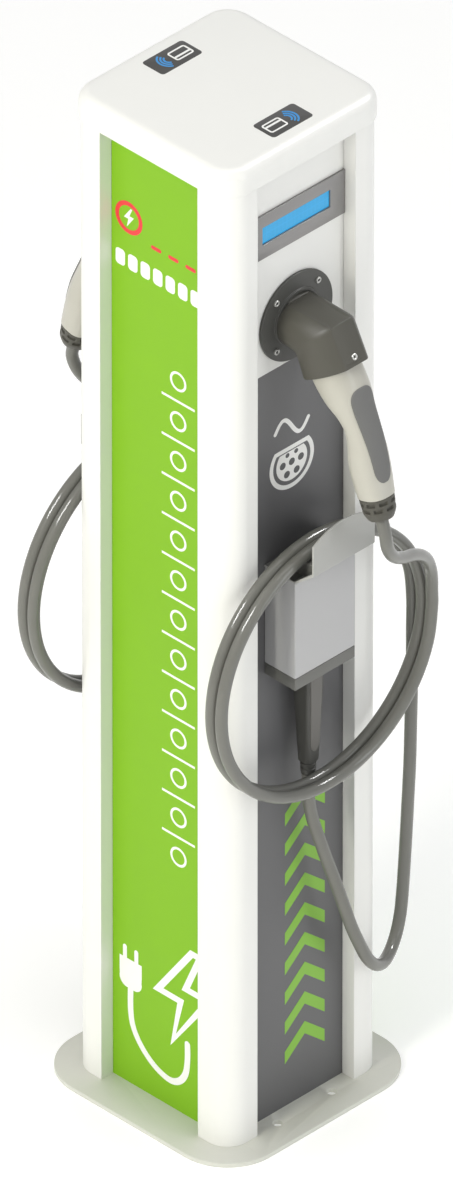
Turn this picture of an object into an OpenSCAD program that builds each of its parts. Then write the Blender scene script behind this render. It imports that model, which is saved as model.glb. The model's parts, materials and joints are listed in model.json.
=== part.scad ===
// Free-standing charging post with two holstered connectors, one at the front
// and one at the back. Origin at the bottom centre of the base plate, +Z up,
// front face towards -Y. The back set is the front set mirrored in Y.

/* [Post] */
// Width and depth of the post body
body_w = 220; // [200:1:280]
// Height of the body above the base plate
body_h = 1150; // [1100:1:1400]
// Face width of each corner column
column_w = 42; // [35:0.1:52]
// Radius of the outer corner of a column
column_r = 27; // [20:1:32]
// Wall of a column extrusion
column_wall = 3; // [2:0.5:4]

/* [Base and lid] */
// Width and depth of the base plate
base_w = 280; // [250:1:340]
// Thickness of the base plate
base_t = 5; // [5:1:10]
// Corner radius of the base plate
base_r = 60; // [40:1:80]
// Diameter of the ground bolt holes
ground_hole_d = 10; // [9:1:14]
// Ground bolt spacing across the post
ground_x = 76; // [70:1:90]
// Ground bolt spacing from front to back
ground_y = 217; // [210:1:225]
// Diameter of the supply cable hole
supply_hole_d = 60; // [40:1:64]
// Overhang of the lid past the body on each side
lid_over = 2.5; // [1:0.5:6]
// Height of the lid
lid_h = 30; // [26:1:40]
// Radius of the lid's top edge
lid_edge_r = 12; // [8:1:14]
// Wall of the lid
lid_wall = 5; // [4:0.5:8]

/* [Panels] */
// Thickness of every panel
panel_t = 3; // [2:0.5:4]
// Depth of the panels behind the column faces
panel_recess = 16.6; // [14:0.1:18]
// Depth of the panel grooves in the columns
groove_d = 8; // [6:0.5:9]
// Clearance around a panel in its groove
panel_gap = 0.2; // [0.1:0.1:0.4]
// Height of the seam between lower and upper panel
seam_z = 909; // [860:1:909]

/* [Display] */
// Lowest edge of the display bezel
bezel_z = 1051; // [1040:1:1070]
// Height of the display bezel
bezel_h = 52; // [46:1:60]
// Thickness of the display bezel
bezel_t = 2.6; // [2:0.2:4]
// Width of the display window
window_w = 94.4; // [80:0.2:100]
// Height of the display window
window_h = 21; // [18:0.5:26]

/* [Dock] */
// Height of the dock axis
dock_z = 961; // [960:1:975]
// Diameter of the dock flange
flange_d = 100; // [94:1:100]
// Thickness of the dock flange
flange_t = 3.4; // [2.6:0.2:5]
// Diameter of the circle of flange screws
flange_pcd = 82; // [80:1:88]
// Diameter of the connector nose
nose_d = 54; // [45:0.1:65]
// Length of the connector nose inside the dock
nose_l = 50; // [40:1:56]
// Clearance around the nose in the dock
nose_gap = 0.5; // [0.4:0.1:1]
// Wall of the dock sleeve
sleeve_wall = 4; // [3:0.5:5]
// Distance that the dock collar stands out of the flange
collar_l = 2; // [1:1:8]

/* [Connector] */
// Step from the nose out to the barrel
barrel_step = 3.5; // [2:0.5:5]
// Width of the latch ridge on the connector
ridge_w = 30; // [24:1:34]
// Thickness of the soft pad on the grip
pad_t = 1.6; // [1:0.2:2.4]
// Diameter of the power contacts
contact_d = 8; // [6:0.5:8.5]

/* [Junction box] */
// Width of the junction box
box_w = 84; // [76:1:92]
// Depth of the junction box
box_d = 43; // [36:0.1:52]
// Height of the box cover
box_h = 116; // [104:1:120]
// Lowest edge of the box cover
box_z = 562; // [556:1:562]
// Wall of the box cover
box_wall = 2.5; // [2:0.5:4]
// Height of the gland plate under the cover
gland_plate_h = 14; // [10:1:16]

/* [Cable] */
// Outer diameter of the charging cable
cable_d = 13; // [12:0.5:13]
// Radius of the middle of the coil's turns
coil_r = 144; // [140:1:146]
// Turns in the coil
coil_turns = 2; // [2:1:2]

/* [Hidden] */

$fn = 64;
eps = 0.01;
green = [0.58, 0.82, 0.24];
white = [0.95, 0.95, 0.93];
pale_grey = [0.72, 0.72, 0.72];
mid_grey = [0.42, 0.41, 0.38];
dark_grey = [0.33, 0.33, 0.32];
rubber_grey = [0.45, 0.45, 0.42];

// Body
half = body_w / 2;
top_z = base_t + body_h;
inner = half - column_w;
panel_y = half - panel_recess;
panel_in = panel_y - panel_t;
panel_edge = inner + groove_d - 2 * panel_gap;
groove_t = panel_t + 2 * panel_gap;
boss_r = 7;
boss_at = half - column_r + 1;
boss_hole_r = 3.3;
screw_gap = 0.1;
tight = 0.3;

// Lid
frame_t = 4;
frame_half = half - 4;
frame_hole = 120;
gasket_t = 2;
gasket_w = 5;
gasket_half = frame_half - 1;
lid_half = half + lid_over;
lid_r = column_r + lid_over;
label_w = 57;
label_h = 31;
label_t = 0.8;
label_y = 77;
label_r = 4;
reader_t = 8;

// Display
window_z = bezel_z + bezel_h / 2 + 1;
module_w = window_w + 10;
module_h = window_h + 10;
module_d = 14;
glass_set_back = 2;

// Dock
sleeve_r = nose_d / 2 + nose_gap;
collar_r = sleeve_r + sleeve_wall;
flange_y = panel_y + flange_t;
collar_y = flange_y + collar_l;
sleeve_back = collar_y - nose_l - 8;
dock_screw_d = 7;

// Connector
// Places on the connector are given outwards from its neck and up from its axis
neck_y = collar_y + tight;
barrel_r = nose_d / 2 + barrel_step;
barrel_l = 32;
head_end = [50, -36];
head_lean = 30;
ridge_top = 23;
back_lean = 119;
nose_flat = 3.5;
nose_wall = 4;
head_screw_at = [77.4, -10];
head_foot_w = 61;
head_foot_r = 21;
shoulder = (ridge_w / 2 + ridge_top + 0.5) * sqrt(0.5);

// Grip stations from the head down to the cap: out, up, half width, half depth, lean in degrees
grip_stations = [
    [50, -36, 25, 27, 30],
    [58, -48, 24, 25, 32],
    [66, -59, 23, 23, 34],
    [76, -72, 21.5, 20, 32],
    [85, -87, 20.5, 18.5, 27],
    [91, -103, 20, 19, 21],
    [96, -121, 20.5, 20, 17],
    [101, -140, 19.5, 19, 16],
    [108, -160, 17.5, 17.5, 16.5]];
grip_last = grip_stations[len(grip_stations) - 1];
cap_l = 25;
pad_gap = 0.3;
// Half angle that the pad covers, from the second grip station down
pad_spread = [18, 36, 44, 46, 44, 40, 26];

// Junction box
box_y = panel_y + box_d;
box_top = box_z + box_h;
gland_z = box_z - gland_plate_h;
boot_y = panel_y + 19.6;
boot_top = 24;
boot_l = 114;
boot_neck_l = 16;
boot_hole_r = 9;

// Hook
hook_w = 86;
hook_t = 2.5;
hook_y = box_y + 26.5;
hook_slope_z = 21.5;
hook_side_z = 57;
hook_mid_z = 70;

// Coil and cable
coil_x = -3;
coil_z = 563;
coil_back_y = -118;
coil_pitch = 13.5;
coil_w = coil_turns * coil_pitch + cable_d;
cable_sides = 10;
// The cable's points are for panels this far from the middle, and move out with them
chosen_panel_y = 93.4;
cable_shift = [0, chosen_panel_y - panel_y, 0];
drop_points = [
    [0, -113, 418], [0, -113, 390], [4, -115, 360], [10, -120, 331], [18, -123, 302],
    [26, -127, 273], [33, -131, 245], [40, -134, 219], [49, -136, 195], [60, -136, 172],
    [75, -132, 154], [93, -125, 143], [112, -116, 142], [129, -108, 151], [140, -103, 168],
    [145, -101, 190], [146, -102, 215], [145, -105, 247], [143, -109, 283], [141, -113, 322],
    [140, -116, 362], [140, -117, 402], [140, -118, 443], [141, -118, 483],
    [141, -118, 523], [141, -118, 563]];
tail_points = [
    [141, -145, 563], [140, -146, 585], [135, -150, 610], [122, -158, 635],
    [101, -170, 658], [74, -184, 679], [46, -198, 697], [22, -209, 716],
    [7, -216, 737], [1, -219, 757], [0, -214.2, 776.4]];

// Chassis
chassis_t = 2;
chassis_w = 132;
foot_w = 24;
rail_z = [300, 480, 660, 800];
rail_h = 35;
rail_d = 7.5;
breaker_w = 36;
breaker_h = 85;
breaker_d = 62;
toggle_r = 6;
toggle_l = 12;
toggle_w = 15;
toggle_rest = 40;
toggle_gap = 1;

// ---------------------------------------------------------------- helpers

// Turns the front set into the back set
module at_side(s) {
    if (s < 0) mirror([0, 1, 0]) children();
    else children();
}

// Square outline with round corners, made of true arcs
module round_square(w, d, r) {
    square([w - 2 * r, d], center = true);
    square([w, d - 2 * r], center = true);
    for (x = [-1, 1], y = [-1, 1])
        translate([x * (w / 2 - r), y * (d / 2 - r)]) circle(r);
}

// Rounded plate from z0 upwards
module plate(w, d, r, t) {
    linear_extrude(t) round_square(w, d, r);
}

// Box given by its lowest and highest corner
module block(low, high) {
    translate(low) cube(high - low);
}

// Cylinder along -Y from y = -y0 to y = -y1
module rod_y(r, y0, y1) {
    translate([0, -y0, 0]) rotate([90, 0, 0]) cylinder(h = y1 - y0, r = r);
}

// Pan-head screw that points down, its head resting at z = 0
module pan_screw(head_r, head_h, shank_r, shank_l) {
    cylinder(h = head_h, r = head_r);
    translate([0, 0, -shank_l]) cylinder(h = shank_l + eps, r = shank_r);
}

// Polyhedron through rings of equal point count
module loft(rings) {
    n = len(rings[0]);
    m = len(rings);
    points = [for (r = rings) each r];
    sides = [for (i = [0:m - 2], k = [0:n - 1])
        let (a = i * n + k, b = i * n + (k + 1) % n) each [[a, b, b + n], [a, b + n, a + n]]];
    bottom = [for (k = [1:n - 2]) [0, k + 1, k]];
    top = [for (k = [1:n - 2]) [0, k, k + 1] + (m - 1) * n * [1, 1, 1]];
    polyhedron(points, concat(sides, bottom, top), convexity = 6);
}

function unit(v) = v / norm(v);
function step_at(p, i) = unit(p[min(i + 1, len(p) - 1)] - p[max(i - 1, 0)]);

// Ring of a round cable at point i of its route
function cable_ring(p, i, r, n) =
    let (t = step_at(p, i), u = unit(cross(t, [0, 1, 0])), v = cross(t, u))
    [for (k = [0:n - 1]) p[i] + r * (cos(360 * k / n) * u + sin(360 * k / n) * v)];

module cable_tube(points) {
    r = cable_d / 2;
    loft([for (i = [0:len(points) - 1]) cable_ring(points, i, r, cable_sides)]);
}

// Ring of the grip at one station
function grip_ring(s, n) =
    let (c = cos(s[4]), d = sin(s[4]))
    [for (k = [0:n - 1])
        let (a = 360 * k / n, x = s[2] * cos(a), v = s[3] * sin(a))
        [x, -s[0] - v * c, s[1] + v * d]];

// ---------------------------------------------------------------- frame

module base_plate() color(pale_grey) difference() {
    plate(base_w, base_w, base_r, base_t);
    for (x = [-1, 1], y = [-1, 1]) {
        translate([x * ground_x / 2, y * ground_y / 2, -1])
            cylinder(h = base_t + 2, d = ground_hole_d);
        translate([x * boss_at, y * boss_at, -1]) {
            cylinder(h = base_t + 2, r = boss_hole_r);
            cylinder(h = 1 + base_t - 2, r = boss_r);
        }
    }
    translate([0, 0, -1]) cylinder(h = base_t + 2, d = supply_hole_d);
}

// Section of the column in the corner at +X +Y
module column_outline(cut) {
    r = column_r - cut;
    far = half - cut;
    near = inner + cut;
    translate([near, near]) square([far - near, half - column_r - near]);
    translate([near, near]) square([half - column_r - near, far - near]);
    intersection() {
        translate([half - column_r, half - column_r]) circle(r);
        translate([near, near]) square(far - near);
    }
}

module groove(wall) {
    translate([inner - eps, panel_in - panel_gap - wall])
        square([groove_d + wall, groove_t + 2 * wall]);
}

module column_section() {
    difference() {
        column_outline(0);
        difference() {
            column_outline(column_wall);
            groove(column_wall);
            mirror([1, -1]) groove(column_wall);
            translate([boss_at, boss_at]) circle(boss_r);
        }
        groove(0);
        mirror([1, -1]) groove(0);
        translate([boss_at, boss_at]) circle(boss_hole_r);
    }
}

module column(x, y) color(white)
    mirror([x < 0 ? 1 : 0, 0, 0]) mirror([0, y < 0 ? 1 : 0, 0])
    translate([0, 0, base_t]) linear_extrude(body_h) column_section();

module column_front_left() column(-1, -1);
module column_front_right() column(1, -1);
module column_back_left() column(-1, 1);
module column_back_right() column(1, 1);

// Screws that hold the columns to the base plate and the top frame to the columns
module frame_screws() color("silver") {
    shank_r = boss_hole_r - screw_gap;
    for (x = [-1, 1], y = [-1, 1]) {
        translate([x * boss_at, y * boss_at, base_t - 2]) rotate([180, 0, 0])
            pan_screw(boss_r - 0.5, 2.5, shank_r, 25);
        translate([x * boss_at, y * boss_at, top_z + frame_t])
            pan_screw(boss_r - 2, 1.5, shank_r, 25);
    }
}

module top_frame() color("silver") translate([0, 0, top_z]) difference() {
    plate(2 * frame_half, 2 * frame_half, column_r - 4, frame_t);
    translate([0, 0, -1]) plate(frame_hole, frame_hole, 12, frame_t + 2);
    for (x = [-1, 1], y = [-1, 1])
        translate([x * boss_at, y * boss_at, -1]) cylinder(h = frame_t + 2, r = boss_hole_r);
}

module lid_gasket() color("dimgray") translate([0, 0, top_z + frame_t]) difference() {
    plate(2 * gasket_half, 2 * gasket_half, column_r - 5, gasket_t);
    translate([0, 0, -1])
        plate(2 * (gasket_half - gasket_w), 2 * (gasket_half - gasket_w), column_r - 9, gasket_t + 2);
}

// Half section of the lid's edge: flat wall below, quarter arc on top
module lid_profile(reach) {
    square([reach, lid_h - lid_edge_r]);
    square([reach - lid_edge_r, lid_h]);
    translate([reach - lid_edge_r, lid_h - lid_edge_r]) circle(lid_edge_r);
}

module lid_body() {
    run = lid_half - lid_r;
    for (turn = [0, 90]) rotate([0, 0, turn])
        translate([0, run, 0]) rotate([90, 0, 0]) linear_extrude(2 * run) {
            lid_profile(lid_half);
            mirror([1, 0]) lid_profile(lid_half);
        }
    for (x = [-1, 1], y = [-1, 1]) translate([x * run, y * run, 0])
        rotate_extrude() intersection() {
            lid_profile(lid_r);
            square([lid_r, lid_h]);
        }
}

module lid() color(white) translate([0, 0, top_z]) difference() {
    lid_body();
    low = 2 * (frame_half + tight);
    high = 2 * (gasket_half - gasket_w + 1);
    translate([0, 0, -1]) plate(low, low, column_r - 4, 1 + frame_t + gasket_t);
    translate([0, 0, -1]) plate(high, high, column_r - 9, 1 + lid_h - lid_wall);
    for (y = [-1, 1]) translate([0, y * label_y, lid_h - label_t])
        plate(label_w, label_h, label_r, label_t + 1);
}

// ---------------------------------------------------------------- panels

module side_panel(s) color(green)
    block([s > 0 ? panel_in : -panel_y, -panel_edge, base_t],
        [s > 0 ? panel_y : -panel_in, panel_edge, top_z]);
module side_panel_left() side_panel(-1);
module side_panel_right() side_panel(1);

module upper_panel(s) color(white) at_side(s) difference() {
    block([-panel_edge, -panel_y, seam_z], [panel_edge, -panel_in, top_z]);
    translate([0, 0, dock_z]) rod_y(collar_r + tight, panel_in - 1, panel_y + 1);
    block([-module_w / 2 - tight, -panel_y - 1, window_z - module_h / 2 - tight],
        [module_w / 2 + tight, -panel_in + 1, window_z + module_h / 2 + tight]);
    dock_screw_places() rod_y(1.5, panel_in - 1, panel_y + 1);
}
module upper_panel_front() upper_panel(1);
module upper_panel_back() upper_panel(-1);

module lower_panel(s) color(dark_grey) at_side(s) difference() {
    block([-panel_edge, -panel_y, base_t], [panel_edge, -panel_in, seam_z]);
    translate([0, 0, box_z + box_h / 2]) rod_y(15, panel_in - 1, panel_y + 1);
}
module lower_panel_front() lower_panel(1);
module lower_panel_back() lower_panel(-1);

module display_bezel(s) color("gray") at_side(s) difference() {
    block([-inner + tight, -panel_y - bezel_t, bezel_z], [inner - tight, -panel_y, bezel_z + bezel_h]);
    block([-window_w / 2, -panel_y - bezel_t - 1, window_z - window_h / 2],
        [window_w / 2, -panel_y + 1, window_z + window_h / 2]);
}
module display_bezel_front() display_bezel(1);
module display_bezel_back() display_bezel(-1);

// Display: glass behind the window, housing through the panel
module display_module(s) color("deepskyblue") at_side(s) {
    block([-module_w / 2, -panel_y, window_z - module_h / 2],
        [module_w / 2, -panel_y + module_d, window_z + module_h / 2]);
    block([-window_w / 2 + tight, -panel_y - bezel_t + glass_set_back, window_z - window_h / 2 + tight],
        [window_w / 2 - tight, -panel_y + eps, window_z + window_h / 2 - tight]);
}
module display_module_front() display_module(1);
module display_module_back() display_module(-1);

module reader_label(s) color("darkslategray")
    translate([0, -s * label_y, top_z + lid_h - label_t])
    plate(label_w - 2 * tight, label_h - 2 * tight, label_r - tight, label_t + 0.2);
module reader_label_front() reader_label(1);
module reader_label_back() reader_label(-1);

// Card readers under the lid, one below each label
module reader_boards() color("darkgreen") for (s = [-1, 1])
    translate([0, s * label_y, top_z + lid_h - lid_wall - reader_t])
    plate(label_w, 34, label_r, reader_t);

// ---------------------------------------------------------------- dock

module dock_screw_places()
    for (x = [-1, 1], z = [-1, 1])
        translate([x * flange_pcd / 2 * sqrt(0.5), 0, dock_z + z * flange_pcd / 2 * sqrt(0.5)])
            children();

module dock(s) color(dark_grey) at_side(s) difference() {
    translate([0, 0, dock_z]) {
        rod_y(flange_d / 2, panel_y, flange_y);
        rod_y(collar_r, sleeve_back, collar_y);
    }
    translate([0, 0, dock_z]) rod_y(sleeve_r, sleeve_back + 4, collar_y + 1);
    dock_screw_places() rod_y(2.2, panel_y - 1, flange_y + 1);
}
module dock_front() dock(1);
module dock_back() dock(-1);

module dock_screws() color("silver") for (s = [-1, 1]) at_side(s) dock_screw_places() {
    rod_y(dock_screw_d / 2, flange_y, flange_y + 1.6);
    rod_y(1.4, panel_in - 2, flange_y + eps);
}

// ---------------------------------------------------------------- connector

// Round rod with a flat on top, smaller than the nose by a wall
module flat_rod(wall, y0, y1) {
    r = nose_d / 2 - wall;
    difference() {
        rod_y(r, y0, y1);
        block([-nose_d, -y1 - 1, r - nose_flat], [nose_d, -y0 + 1, nose_d]);
    }
}

module nose() {
    difference() {
        flat_rod(0, collar_y - nose_l, collar_y + tight);
        flat_rod(nose_wall, collar_y - nose_l - 1, collar_y - 8);
    }
}

// Moves a piece of the connector from the dock axis to its place on side s
module at_neck(s) at_side(s) translate([0, -neck_y, dock_z]) children();

// Moves to a place given outwards and up, and turns +Z to lean degrees past straight down
module at_lean(place, lean) translate([0, -place[0], place[1]]) rotate([180 - lean, 0, 0]) children();

// Elbow from the end of the barrel down to the grip
module elbow() hull() {
    translate([0, -barrel_l + 10, 0]) rotate([90, 0, 0]) cylinder(h = 10, r = barrel_r, $fn = 48);
    at_lean(head_end, head_lean) translate([0, 0, -1])
        linear_extrude(1) round_square(head_foot_w, head_foot_w, head_foot_r);
}

// Flat-topped latch ridge, its side outline given outwards and up
module ridge() {
    outline = [[0, 0], [0, ridge_top], [59.5, ridge_top], [79.5, -13.5], [76, -22], [59, -32], [41, -20]];
    rotate([90, 0, -90]) translate([0, 0, -ridge_w / 2])
        linear_extrude(ridge_w) polygon(outline);
}

module connector_head(s) color(mid_grey) at_neck(s) difference() {
    union() {
        translate([0, neck_y, 0]) nose();
        rod_y(barrel_r, 0, barrel_l);
        elbow();
        ridge();
    }
    at_lean(head_screw_at, back_lean) cylinder(h = 30, r = 3.6, center = true);
    for (turn = [-45, 0, 45]) rotate([0, turn, 0])
        block([-2 * barrel_r, -3 * barrel_l, turn == 0 ? ridge_top : shoulder], [2 * barrel_r, 0, 3 * barrel_r]);
    at_lean(head_end, head_lean) translate([-60, -60, 0]) cube([120, 120, 60]);
}
module connector_head_front() connector_head(1);
module connector_head_back() connector_head(-1);

// Insulating block in the nose with five power and two signal contacts
module contact_block(s) color("black") at_neck(s) translate([0, neck_y, 0]) difference() {
    flat_rod(nose_wall + 0.2, collar_y - nose_l + 4, collar_y - 8);
    for (p = [[-13.5, -2], [0, -2], [13.5, -2], [-7, -14], [7, -14]])
        translate([p[0], 0, p[1]]) rod_y(contact_d / 2, collar_y - nose_l + 3, collar_y - 18);
    for (x = [-1, 1]) translate([x * 6.5, 0, 10])
        rod_y(contact_d / 4, collar_y - nose_l + 3, collar_y - 18);
}
module contact_block_front() contact_block(1);
module contact_block_back() contact_block(-1);

module grip(s) color("linen") at_neck(s)
    loft([for (station = grip_stations) grip_ring(station, 36)]);
module grip_front() grip(1);
module grip_back() grip(-1);

// Ring of the soft pad: out along a grown grip section and back along the grip
function pad_ring(s, spread) =
    let (c = cos(s[4]), d = sin(s[4]), n = 6)
    [for (k = [-n:n]) pad_point(s, c, d, 90 + spread * k / n, pad_gap + pad_t),
        for (k = [-n:n]) pad_point(s, c, d, 90 - spread * k / n, pad_gap)];
function pad_point(s, c, d, a, g) =
    let (v = (s[3] + g) * sin(a)) [(s[2] + g) * cos(a), -s[0] - v * c, s[1] + v * d];

// Soft pad on the outer face of the grip
module grip_pad(s) color("gray") at_neck(s)
    loft([for (i = [0:len(pad_spread) - 1]) pad_ring(grip_stations[i + 1], pad_spread[i])]);
module grip_pad_front() grip_pad(1);
module grip_pad_back() grip_pad(-1);

// Union nut that clamps the cable below the grip
module cable_cap(s) color(mid_grey) at_neck(s)
    at_lean(grip_last, grip_last[4]) difference() {
        union() {
            cylinder(h = cap_l - 8, r1 = 18, r2 = 17);
            translate([0, 0, cap_l - 8]) cylinder(h = 8, r1 = 17, r2 = 13.5);
        }
        for (a = [0:45:359]) rotate([0, 0, a]) {
            translate([16.6, -4, 4]) cube([4, 8, 2.5]);
            rotate([0, 0, 22.5]) translate([16.2, -3.5, 10]) cube([4, 7, 2.5]);
        }
    }
module cable_cap_front() cable_cap(1);
module cable_cap_back() cable_cap(-1);

module head_screw(s) color("silver") at_neck(s)
    at_lean(head_screw_at, back_lean) translate([0, 0, -12]) cylinder(h = 13, r = 3.5);
module head_screw_front() head_screw(1);
module head_screw_back() head_screw(-1);

// ---------------------------------------------------------------- junction box and hook

module box_cover(s) color(pale_grey) at_side(s) difference() {
    block([-box_w / 2, -box_y, box_z], [box_w / 2, -panel_y, box_top]);
    block([-box_w / 2 + box_wall, -box_y + box_wall, box_z - 1],
        [box_w / 2 - box_wall, -panel_y + 1, box_top - box_wall]);
}
module box_cover_front() box_cover(1);
module box_cover_back() box_cover(-1);

module gland_plate(s) color(mid_grey) at_side(s) difference() {
    block([-box_w / 2, -box_y, gland_z], [box_w / 2, -panel_y, box_z]);
    translate([0, -boot_y, gland_z - 1]) cylinder(h = gland_plate_h + 2, r = boot_hole_r);
}
module gland_plate_front() gland_plate(1);
module gland_plate_back() gland_plate(-1);

module cable_boot(s) color(dark_grey) at_side(s) translate([0, -boot_y, 0]) {
    translate([0, 0, gland_z]) cylinder(h = gland_plate_h, r = boot_hole_r - 0.2);
    hull() {
        translate([-boot_top / 2, -boot_top / 2 + 1, gland_z - 26]) cube([boot_top, boot_top - 2, 26]);
        translate([-9, -8.5, gland_z - boot_l]) cube([18, 17, 1]);
    }
    translate([0, 0, gland_z - boot_l - boot_neck_l])
        cylinder(h = boot_neck_l + 1, r1 = cable_d / 2 + 0.6, r2 = cable_d / 2 + 1.8);
}
module cable_boot_front() cable_boot(1);
module cable_boot_back() cable_boot(-1);

// Bent sheet: floor on the box, slope and arched front plate, with a saddle for the coil
module cable_hook(s) color(pale_grey) at_side(s) {
    r = (pow(hook_w / 2, 2) + pow(hook_mid_z - hook_side_z, 2)) / (2 * (hook_mid_z - hook_side_z));
    translate([0, 0, box_top]) {
        hook_strip([[-panel_y, 0], [-box_y, 0], [-hook_y, hook_slope_z],
            [-hook_y, hook_slope_z + hook_t], [-hook_y + hook_t, hook_slope_z + hook_t],
            [-box_y + 1, hook_t], [-panel_y, hook_t]]);
        intersection() {
            block([-hook_w / 2, -hook_y, hook_slope_z + 1], [hook_w / 2, -hook_y + hook_t, hook_mid_z]);
            translate([0, 0, hook_mid_z - r]) rod_y(r, hook_y - 5, hook_y + 5);
        }
    }
    saddle();
}

module hook_strip(outline)
    rotate([90, 0, 90]) translate([0, 0, -hook_w / 2]) linear_extrude(hook_w) polygon(outline);

// Block on the hook's floor, hollowed to the coil's inner radius
module saddle() {
    low = box_top + hook_t;
    high = coil_z + coil_r - 3;
    back = box_y - 24.5;
    front = hook_y - 13;
    difference() {
        rotate([90, 0, 90]) translate([0, 0, -28]) linear_extrude(56)
            polygon([[-back, low], [-box_y + 1, low], [-front, low + 11], [-front, high], [-back, high]]);
        translate([coil_x, 0, coil_z]) difference() {
            rod_y(coil_r + 10, 90, 180);
            rod_y(coil_r - cable_d / 2 - tight, 90, 180);
        }
    }
}
module cable_hook_front() cable_hook(1);
module cable_hook_back() cable_hook(-1);

// ---------------------------------------------------------------- cable

module cable_drop(s) color(rubber_grey) at_side(s) translate(cable_shift) cable_tube(drop_points);
module cable_drop_front() cable_drop(1);
module cable_drop_back() cable_drop(-1);

// Outer shape of the wound turns, side by side on the hook
module cable_coil(s) color(rubber_grey) at_side(s) translate(cable_shift)
    translate([coil_x, coil_back_y + cable_d / 2 - coil_w / 2, coil_z]) rotate([90, 0, 0])
    rotate_extrude($fn = 96) translate([coil_r, 0]) round_square(cable_d, coil_w, cable_d / 2 - 0.5);
module cable_coil_front() cable_coil(1);
module cable_coil_back() cable_coil(-1);

module cable_tail(s) color(rubber_grey) at_side(s) translate(cable_shift) cable_tube(tail_points);
module cable_tail_front() cable_tail(1);
module cable_tail_back() cable_tail(-1);

// ---------------------------------------------------------------- inside

// Plate in the middle of the post with bent feet and top flanges
module chassis_plate() color("lightgray") {
    difference() {
        block([-chassis_w / 2, -chassis_t / 2, base_t], [chassis_w / 2, chassis_t / 2, top_z]);
        block([-34, -5, base_t - 1], [34, 5, 100]);
    }
    for (x = [-1, 1], z = [base_t, top_z - chassis_t])
        translate([x * (chassis_w / 2 - foot_w / 2), 0, z])
            block([-foot_w / 2, 0, 0], [foot_w / 2, foot_w, chassis_t]);
}

module din_rails() color("silver") for (s = [-1, 1], z = rail_z) at_side(s)
    block([-55, -chassis_t / 2 - rail_d, z - rail_h / 2], [55, -chassis_t / 2, z + rail_h / 2]);

rail_face = chassis_t / 2 + rail_d;
breaker_y = rail_face + breaker_d;

module breaker(s) color("whitesmoke") at_side(s) difference() {
    block([-breaker_w / 2, -breaker_y, rail_z[2] - breaker_h / 2],
        [breaker_w / 2, -rail_face, rail_z[2] + breaker_h / 2]);
    block([-toggle_w / 2 - toggle_gap, -breaker_y - 1, rail_z[2] - toggle_r - 3],
        [toggle_w / 2 + toggle_gap, -breaker_y + 2 * toggle_r + 2, rail_z[2] + toggle_r + 3]);
}
module breaker_front() breaker(1);
module breaker_back() breaker(-1);

// Switch lever of a breaker, up when on
module toggle(s) color("royalblue") at_side(s)
    translate([0, -breaker_y + toggle_r + 0.5, rail_z[2]]) {
        rotate([0, 90, 0]) cylinder(h = toggle_w, r = toggle_r, center = true);
        rotate([-toggle_rest, 0, 0])
            block([-toggle_w / 2 + 1, -toggle_r - toggle_l, -2], [toggle_w / 2 - 1, 0, 2]);
    }
module toggle_front() toggle(1);
module toggle_back() toggle(-1);

// Pair of matching devices, one on each side of the chassis
module device_pair(w, h, d, z) for (s = [-1, 1]) at_side(s) difference() {
    block([-w / 2, -rail_face - d, z - h / 2], [w / 2, -rail_face, z + h / 2]);
    for (x = [-1, 1], e = [-1, 1]) translate([x * w / 4, -rail_face - d + 1, z + e * (h / 2 - 6)])
        rotate([90, 0, 0]) cylinder(h = 3, r = 2.5);
}
module contactors() color("gainsboro") device_pair(36, 84, 58, rail_z[1]);
module energy_meters() color("white") device_pair(54, 88, 60, rail_z[0]);
module controllers() color("darkslategray") device_pair(90, 80, 48, rail_z[3]);

// ---------------------------------------------------------------- draw

base_plate();
column_front_left();
column_front_right();
column_back_left();
column_back_right();
frame_screws();
top_frame();
lid_gasket();
lid();
side_panel_left();
side_panel_right();
upper_panel_front();
upper_panel_back();
lower_panel_front();
lower_panel_back();
display_bezel_front();
display_bezel_back();
display_module_front();
display_module_back();
reader_label_front();
reader_label_back();
reader_boards();
dock_front();
dock_back();
dock_screws();
box_cover_front();
box_cover_back();
gland_plate_front();
gland_plate_back();
cable_hook_front();
cable_hook_back();
cable_boot_front();
cable_boot_back();
cable_drop_front();
cable_drop_back();
cable_coil_front();
cable_coil_back();
cable_tail_front();
cable_tail_back();
connector_head_front();
connector_head_back();
contact_block_front();
contact_block_back();
grip_front();
grip_back();
grip_pad_front();
grip_pad_back();
cable_cap_front();
cable_cap_back();
head_screw_front();
head_screw_back();
chassis_plate();
din_rails();
breaker_front();
breaker_back();
toggle_front();
toggle_back();
contactors();
energy_meters();
controllers();
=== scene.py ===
import json
import math
import bmesh
import bpy
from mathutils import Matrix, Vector


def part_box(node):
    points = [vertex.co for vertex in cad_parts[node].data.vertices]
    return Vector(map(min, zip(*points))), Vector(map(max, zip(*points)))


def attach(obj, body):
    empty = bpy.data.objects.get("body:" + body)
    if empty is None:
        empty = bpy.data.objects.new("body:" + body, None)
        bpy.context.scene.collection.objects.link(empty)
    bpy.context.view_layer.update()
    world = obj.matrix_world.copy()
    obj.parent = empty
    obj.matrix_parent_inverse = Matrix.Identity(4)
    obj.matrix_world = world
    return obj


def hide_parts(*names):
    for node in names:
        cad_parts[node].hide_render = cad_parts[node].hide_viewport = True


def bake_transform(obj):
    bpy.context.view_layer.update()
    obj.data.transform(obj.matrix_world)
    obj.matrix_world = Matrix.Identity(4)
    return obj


# charging post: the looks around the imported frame, in metres

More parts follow.
